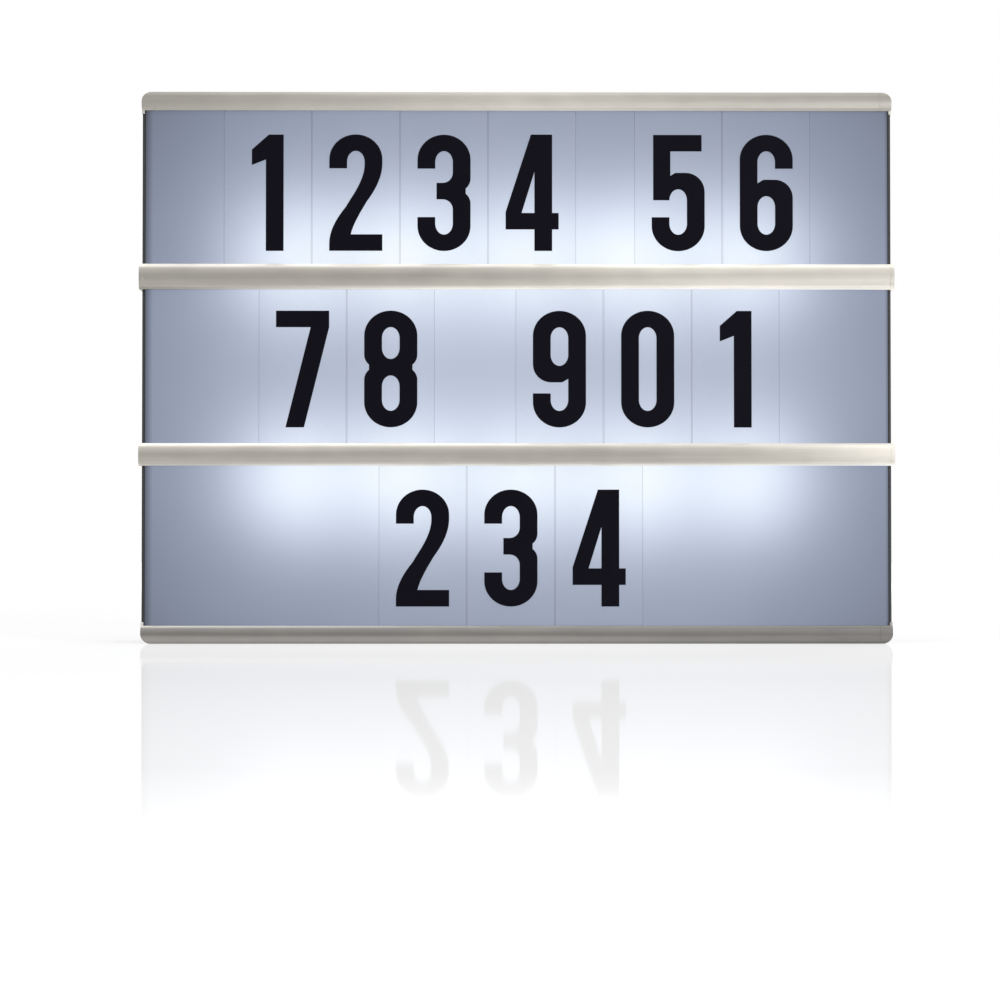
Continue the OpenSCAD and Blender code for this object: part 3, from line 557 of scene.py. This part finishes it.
def dress_nodes():
    """Gives every CAD node its material."""
    film = card_film("card_film")
    rails = {rail: satin_rail(rail) for rail in RAIL_PAINTED_LIGHT}
    steel = plated_metal("spring_steel", (0.66, 0.66, 0.67), 0.28)
    can = cell_sleeve("cell_can", reverse=False)
    turned_can = cell_sleeve("cell_can_turned", reverse=True)
    cover_black = (0.026, 0.026, 0.029)
    finishes = {
        "housing_frame": moulded_plastic("housing_plastic", (0.020, 0.020, 0.021), 0.5),
        "back_cover": moulded_plastic("cover_plastic", cover_black, 0.6, grain=0.08),
        "battery_door": moulded_plastic("door_plastic", cover_black, 0.6, grain=0.08),
        "diffuser_panel": lit_panel("panel_white"),
        "reflector_tray": sheet_white("reflector_white", (0.86, 0.87, 0.86), 0.5),
        "led_board": sheet_white("board_white", (0.80, 0.82, 0.79), 0.35),
        "leds": lamp_window("lamp_white"),
        "battery_springs": steel,
        "contact_plates": steel,
        "cover_screws": plated_metal("screw_steel", (0.42, 0.42, 0.43), 0.34),
        "dc_jack_pin": plated_metal("pin_brass", (0.72, 0.68, 0.56), 0.25),
        "dc_jack_body": moulded_plastic(
            "inlet_black", (0.018, 0.018, 0.018), 0.38, grain=0.02, edge=0.2
        ),
        "switch_body": moulded_plastic(
            "switch_black", (0.022, 0.022, 0.022), 0.40, grain=0.02, edge=0.2
        ),
        "switch_knob": moulded_plastic(
            "knob_black", (0.016, 0.016, 0.017), 0.45, grain=0.02, edge=0.25
        ),
        "positive_wires": insulation("wire_red", (0.50, 0.030, 0.025)),
        "negative_wires": insulation("wire_black", (0.020, 0.020, 0.022)),
    }
    for name, node in NODES.items():
        rail = name.split("_cap_")[0]
        if name.startswith("card_"):
            material = film
        elif rail in rails:
            material = rails[rail]
        elif name.startswith("aa_cell_"):
            material = turned_can if name in TURNED_CELLS else can
        else:
            # The boards and the lamps come in an upper and a lower set
            material = finishes.get(name) or finishes[name.rsplit("_", 1)[0]]
        for slot in node.material_slots:
            slot.material = material


# ---- Numerals, as closed outlines in millimetres from their lower left corner ----


def arc(x, y, wide, high, start, end, steps=24):
    """Points on an elliptical arc about x and y, from start to end in degrees."""
    turns = [math.radians(start + (end - start) * k / steps) for k in range(steps + 1)]
    return [(x + wide * math.cos(t), y + high * math.sin(t)) for t in turns]


def sweep(start, bend, end, steps=10):
    """Points on a smooth curve from start to end, pulled towards bend."""
    points = []
    for k in range(steps + 1):
        t = k / steps
        points.append(tuple(
            (1 - t) ** 2 * a + 2 * t * (1 - t) * b + t * t * c for a, b, c in zip(start, bend, end)
        ))
    return points


def oval(left, right, bottom, top, bow):
    """Upright oval with straight sides."""
    middle = (left + right) / 2
    half = (right - left) / 2
    lower = arc(middle, bottom + bow, half, bow, 180, 360)
    upper = arc(middle, top - bow, half, bow, 0, 180)
    return lower + upper


def outer_foot():
    """Outside of a bowl along the foot of the numeral, from left to right."""
    return arc(GLYPH_MIDDLE, OUTER_BOW, GLYPH_MIDDLE, OUTER_BOW, 180, 360)


def outer_head():
    """Outside of a bowl along the head of the numeral, from right to left."""
    return arc(GLYPH_MIDDLE, GLYPH_H - OUTER_BOW, GLYPH_MIDDLE, OUTER_BOW, 0, 180)


def inner_foot():
    """Inside of the lowest bowl along its foot, from right to left."""
    return arc(GLYPH_MIDDLE, BAR + INNER_BOW, GLYPH_MIDDLE - STEM, INNER_BOW, 360, 180)


def inner_head(top=HEAD):
    """Inside of a bowl along its head, from left to right."""
    return arc(GLYPH_MIDDLE, top - INNER_BOW, GLYPH_MIDDLE - STEM, INNER_BOW, 180, 0)


def shoulder(top, radius):
    """Round corner at the upper right of a low bowl, going up."""
    return arc(GLYPH_W - radius, top - radius, radius, radius, 0, 90, steps=8)


def waist_right():
    """The notch between two bowls on the right, going up."""
    x = GLYPH_W - NOTCH_R
    below = arc(x, WAIST - NOTCH_R, NOTCH_R, NOTCH_R, 0, NOTCH_TURN, steps=6)
    above = arc(x, WAIST + NOTCH_R, NOTCH_R, NOTCH_R, -NOTCH_TURN, 0, steps=6)
    return below + above


def waist_left():
    """The notch between two bowls on the left, going down."""
    return [(GLYPH_W - x, y) for x, y in reversed(waist_right())]


def zero():
    return [
        oval(0, GLYPH_W, 0, GLYPH_H, OUTER_BOW),
        oval(STEM, INNER_RIGHT, BAR, HEAD, INNER_BOW),
    ]


def one():
    left = 5.6
    right = left + STEM
    return [[
        (left, 0), (right, 0), (right, GLYPH_H), (left + 1.2, GLYPH_H),
        (0, GLYPH_H - 6.0), (0, GLYPH_H - 12.2), (left, GLYPH_H - 10.0),
    ]]


def two():
    return [
        [(0, 0), (GLYPH_W, 0), (GLYPH_W, BAR)]
        + sweep((8.6, BAR), (9.4, 10.4), (13.6, 17.4))
        + sweep((15.0, 19.8), (GLYPH_W, 28.0), (GLYPH_W, 35.0))
        + outer_head()
        + [(0, GLYPH_H - OPENING), (STEM, GLYPH_H - OPENING)]
        + inner_head()
        + sweep((INNER_RIGHT, 34.6), (INNER_RIGHT, 29.0), (8.4, 20.6))
        + sweep((6.6, 17.6), (0, 9.6), (0, 3.0))
    ]


def three():
    tongue = 7.6
    radius = 4.0
    x = INNER_RIGHT - radius
    return [
        [(0, OPENING)] + outer_foot() + waist_right() + outer_head()
        + [(0, GLYPH_H - OPENING), (STEM, GLYPH_H - OPENING)]
        + inner_head()
        + arc(x, OVER_WAIST + radius, radius, radius, 0, -90, steps=6)
        + [(tongue, OVER_WAIST), (tongue, UNDER_WAIST)]
        + arc(x, UNDER_WAIST - radius, radius, radius, 90, 0, steps=6)
        + inner_foot()
        + [(STEM, OPENING)]
    ]


def four():
    foot = 8.6
    bar_top = foot + BAR
    right = GLYPH_W - 2.6
    left = right - STEM
    return [
        [
            (left, 0), (right, 0), (right, foot), (GLYPH_W, foot), (GLYPH_W, bar_top),
            (right, bar_top), (right, GLYPH_H), (left - 1.4, GLYPH_H), (0, bar_top + 0.4),
            (0, foot), (left, foot),
        ],
        [(left, bar_top), (left, 31.6), (6.4, bar_top)],
    ]


def five():
    top = 31.4
    left = 0.6
    right = GLYPH_W - 1.2
    neck = top - BAR - INNER_BOW
    inner_left = STEM + 0.4
    return [
        [(left, GLYPH_H), (left, neck), (STEM, neck)]
        + inner_head(top - BAR)
        + inner_foot()
        + [(STEM, OPENING), (0, OPENING)]
        + outer_foot()
        + shoulder(top, 7.6)
        + [(STEM + 2.4, top), (inner_left, top - 1.2)]
        + [(inner_left, HEAD), (right, HEAD), (right, GLYPH_H)]
    ]


def six():
    top = 28.6
    return [
        outer_foot()
        + shoulder(top, 7.2)
        + [(STEM + 2.4, top), (STEM, top - 1.4)]
        + inner_head()
        + [(INNER_RIGHT, GLYPH_H - OPENING), (GLYPH_W, GLYPH_H - OPENING)]
        + outer_head(),
        oval(STEM, INNER_RIGHT, BAR, top - BAR, INNER_BOW),
    ]


def seven():
    return [[
        (0, GLYPH_H), (0, HEAD), (GLYPH_W - 7.4, HEAD), (3.8, 0), (11.2, 0), (GLYPH_W, HEAD),
        (GLYPH_W, GLYPH_H),
    ]]


def eight():
    return [
        outer_foot() + waist_right() + outer_head() + waist_left(),
        oval(STEM, INNER_RIGHT, BAR, UNDER_WAIST, INNER_BOW),
        oval(STEM, INNER_RIGHT, OVER_WAIST, HEAD, INNER_BOW),
    ]


def nine():
    """A six, turned by half a turn."""
    return [[(GLYPH_W - x, GLYPH_H - y) for x, y in loop] for loop in six()]


NUMERALS = [zero, one, two, three, four, five, six, seven, eight, nine]


def ink_mesh(name, loops, centre, front):
    """Fills closed loops as a thin layer of ink that stands upright on a card's front."""
    curve = bpy.data.curves.new(name, "CURVE")
    curve.dimensions = "2D"
    curve.fill_mode = "BOTH"
    curve.extrude = INK * MM / 2
    middle = (min(x for x, _ in loops[0]) + max(x for x, _ in loops[0])) / 2
    for loop in loops:
        spline = curve.splines.new("POLY")
        spline.points.add(len(loop) - 1)
        spline.use_cyclic_u = True
        for point, (x, y) in zip(spline.points, loop):
            point.co = ((x - middle) * MM, (y - GLYPH_H / 2) * MM, 0, 1)
    flat = bpy.data.objects.new(name + "_outline", curve)
    bpy.context.collection.objects.link(flat)
    graph = bpy.context.evaluated_depsgraph_get()
    mesh = bpy.data.meshes.new_from_object(flat.evaluated_get(graph))
    bpy.data.objects.remove(flat)
    work = bmesh.new()
    work.from_mesh(mesh)
    bmesh.ops.remove_doubles(work, verts=work.verts, dist=0.001 * MM)
    for vert in work.verts:
        x, y, depth = vert.co
        vert.co = (centre[0] + x, front - INK * MM / 2 - depth, centre[1] + y)
    bmesh.ops.recalc_face_normals(work, faces=work.faces)
    work.to_mesh(mesh)
    work.free()
    mesh.name = name
    piece = bpy.data.objects.new(name, mesh)
    bpy.context.collection.objects.link(piece)
    return piece


def add_numerals():
    """Prints a numeral on the front of each card, on which it rides."""
    ink = printed_ink("ink_black")
    for row, digits in enumerate(ROWS):
        for k, digit in enumerate(digits):
            card = f"card_{row + 1}_{k + 1}"
            low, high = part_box(card)
            centre = ((low[0] + high[0]) / 2, (low[2] + high[2]) / 2 - DROPS[row] * MM)
            loops = NUMERALS[int(digit)]()
            piece = ink_mesh(f"numeral_{row + 1}_{k + 1}", loops, centre, low[1])
            piece.data.materials.clear()
            piece.data.materials.append(ink)
            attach(piece, card)


# ---- Floor, lights and camera ----


def floor_white(name):
    """White floor, dimmer near the box, with a faint mirror image that fades out."""
    tree = material_tree(name)
    where = tree.where()
    cloud = tree.noise(where, 3.0, detail=2.0)
    distance = tree.length(where)
    bright = tree.span(distance, DIM_END, BRIGHT_START, NEAR_LEVEL, 1.0)
    grazing = tree.node("ShaderNodeFresnel", IOR=1.5).outputs[0]
    share = tree.span(distance, MIRROR_NEAR, MIRROR_FAR, *MIRROR_SHARES)
    fade = tree.span(distance, FADE_START, FADE_END, 1.0, 0.0)
    gloss = tree.math("MULTIPLY", tree.math("MULTIPLY", grazing, share), fade)
    tree.set(
        Base_Color=tree.mix(cloud, (0.41, 0.41, 0.41), (0.43, 0.43, 0.43)),
        Roughness=0.9,
        Specular_IOR_Level=0.0,
        Emission_Color=WHITE,
        Emission_Strength=tree.math("MULTIPLY", tree.seen(), bright),
    )
    mirror = tree.node("ShaderNodeBsdfGlossy", Roughness=0.04)
    mixed = tree.node("ShaderNodeMixShader", Fac=gloss)
    tree.links.new(tree.shader.outputs[0], mixed.inputs[1])
    tree.links.new(mirror.outputs[0], mixed.inputs[2])
    tree.links.new(mixed.outputs[0], tree.nodes["Material Output"].inputs["Surface"])
    return tree.owner


def add_floor():
    """A pale floor that keeps a soft shadow and a faint mirror image of the box."""
    work = bmesh.new()
    bmesh.ops.create_grid(work, x_segments=8, y_segments=8, size=FLOOR_HALF)
    mesh = bpy.data.meshes.new("floor")
    work.to_mesh(mesh)
    work.free()
    floor = bpy.data.objects.new("floor", mesh)
    bpy.context.collection.objects.link(floor)
    mesh.materials.append(floor_white("floor_white"))


def add_world():
    """White to the camera and in reflections, and a plain soft light on everything else."""
    world = bpy.data.worlds.new("studio")
    bpy.context.scene.world = world
    tree = Tree(world)
    tree.set(Color=WHITE, Strength=tree.span(tree.seen(), 0.0, 1.0, WORLD_LIGHT, 1.0))


def aim(thing, target):
    """Turns a light so that it faces a target."""
    dx, dy, dz = (t - p for t, p in zip(target, thing.location))
    thing.rotation_euler = (
        math.atan2(math.hypot(dx, dy), -dz), 0.0, math.atan2(dy, dx) - math.pi / 2
    )


def add_light(name, place, target, size, watts):
    """A soft light with a rectangular face, in metres."""
    light = bpy.data.lights.new(name, "AREA")
    light.shape = "RECTANGLE"
    light.size, light.size_y = size
    light.energy = watts
    lamp = bpy.data.objects.new(name, light)
    lamp.location = place
    aim(lamp, target)
    bpy.context.collection.objects.link(lamp)


def add_lights():
    """Soft light from both sides, on the rails, from above and from behind."""
    middle = (0.0, 0.0, 0.1)
    add_light("right_softbox", (1.3, -1.4, 0.7), middle, size=(1.2, 1.2), watts=10.0)
    add_light("rail_light", (0.62, -0.95, 0.13), (0.1, 0.0, 0.08), size=(0.4, 0.26), watts=3.2)
    add_light("top_strip", (0.0, -0.25, 1.2), (0.0, -0.02, 0.1), size=(1.4, 0.3), watts=2.0)
    add_light("left_fill", (-1.3, -1.3, 0.6), middle, size=(1.0, 1.0), watts=6.0)
    add_light("back_fill", (0.6, 1.5, 0.9), middle, size=(1.2, 1.2), watts=12.0)


def add_camera():
    """The photograph's view: about a metre away, below the middle and nearly head on."""
    data = bpy.data.cameras.new("camera")
    data.sensor_width = 36.0
    data.lens = 90.6
    data.clip_end = 30.0
    camera = bpy.data.objects.new("camera", data)
    # In radians, up from level and to the right of straight ahead
    pitch = 0.01967
    yaw = 0.00667
    camera.location = (-0.01342, -1.0275, 0.03746)
    camera.rotation_euler = (math.pi / 2 + pitch, 0.0, -yaw)
    bpy.context.collection.objects.link(camera)
    bpy.context.scene.camera = camera


dress_nodes()
add_numerals()
add_floor()
add_world()
add_lights()
add_camera()

bpy.context.scene.view_settings.view_transform = "Standard"
